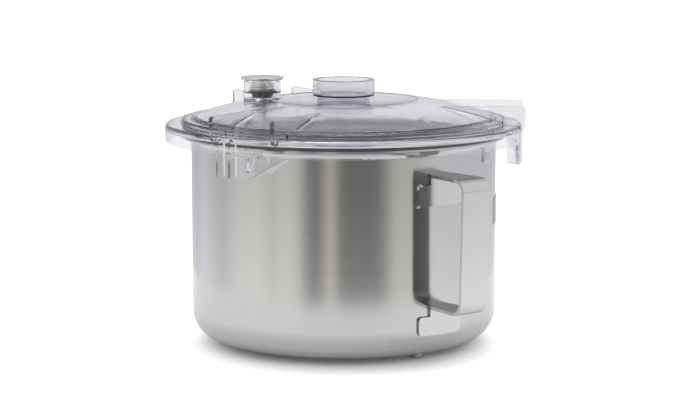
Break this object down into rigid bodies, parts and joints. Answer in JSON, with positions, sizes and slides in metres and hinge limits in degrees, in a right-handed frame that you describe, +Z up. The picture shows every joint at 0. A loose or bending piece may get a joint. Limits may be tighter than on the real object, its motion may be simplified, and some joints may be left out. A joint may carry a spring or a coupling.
{
  "type": "cutter bowl with lid",
  "caption": "Stainless food cutter bowl with a strap handle, a clear bayonet lid with fins and hooks, a feed cap, a release valve and a two-level blade rotor.",
  "frame": {"origin": "on the bowl's axis, at the level of the ends of the three locating studs, which is the surface the bowl stands on", "axes": "+Z up along the bowl's axis, +X from the axis through the handle, +Y follows by the right-hand rule"},
  "size_m": [0.3165, 0.2923, 0.215],
  "materials": {
    "bowl_steel": "fine vertical and circular brushing",
    "handle_steel": "satin sheet",
    "bright_steel": "turned and polished stainless steel",
    "plate_steel": "fine satin, bare",
    "clear_lid": "clear moulded polycarbonate",
    "frosted_cap": "clear polycarbonate with a fine matt texture",
    "black_rubber": "moulded, matt",
    "black_plastic": "moulded",
    "spring_steel": "drawn wire",
    "blade_steel": "ground and polished"
  },
  "bodies": {
    "bowl": {"bowl_shell": "bowl_steel", "centre_tube": "bright_steel", "locating_studs": "bright_steel", "rim_tongues": "bright_steel", "handle": "handle_steel", "side_plate": "plate_steel"},
    "seal": {"lid_seal": "black_rubber"},
    "lid": {"lid_shell": "clear_lid", "valve_guide": "black_plastic"},
    "cap": {"feed_cap": "frosted_cap", "cap_seal": "black_rubber"},
    "valve": {"valve_knob": "bright_steel", "valve_collar": "bright_steel", "valve_plug": "black_rubber", "valve_spring": "spring_steel", "valve_clip": "bright_steel"},
    "rotor": {"hub_sleeve": "bright_steel", "drive_insert": "bright_steel", "lower_blade": "blade_steel", "blade_spacer": "bright_steel", "upper_blade": "blade_steel", "upper_spacer": "bright_steel", "clamp_nut": "black_plastic", "nut_gasket": "black_rubber"}
  },
  "joints": [
    {"name": "lid_lift", "type": "slide", "parent": "bowl", "child": "seal", "axis": [0, 0, 1], "range_m": [0, 0.06]},
    {"name": "lid_turn", "type": "hinge", "parent": "seal", "child": "lid", "pos_m": [0, 0, 0.1727], "axis": [0, 0, 1], "range_deg": [0, 10]},
    {"name": "cap_lift", "type": "slide", "parent": "lid", "child": "cap", "axis": [0, 0, 1], "range_m": [0, 0.03]},
    {"name": "valve_pull", "type": "slide", "parent": "lid", "child": "valve", "axis": [0, 0, 1], "range_m": [0, 0.005], "stiffness_N_per_m": 600, "springref_m": -0.004, "deforming": ["valve_spring"]},
    {"name": "rotor_spin", "type": "hinge", "parent": "bowl", "child": "rotor", "pos_m": [0, 0, 0.05], "axis": [0, 0, 1], "continuous": true}
  ]
}
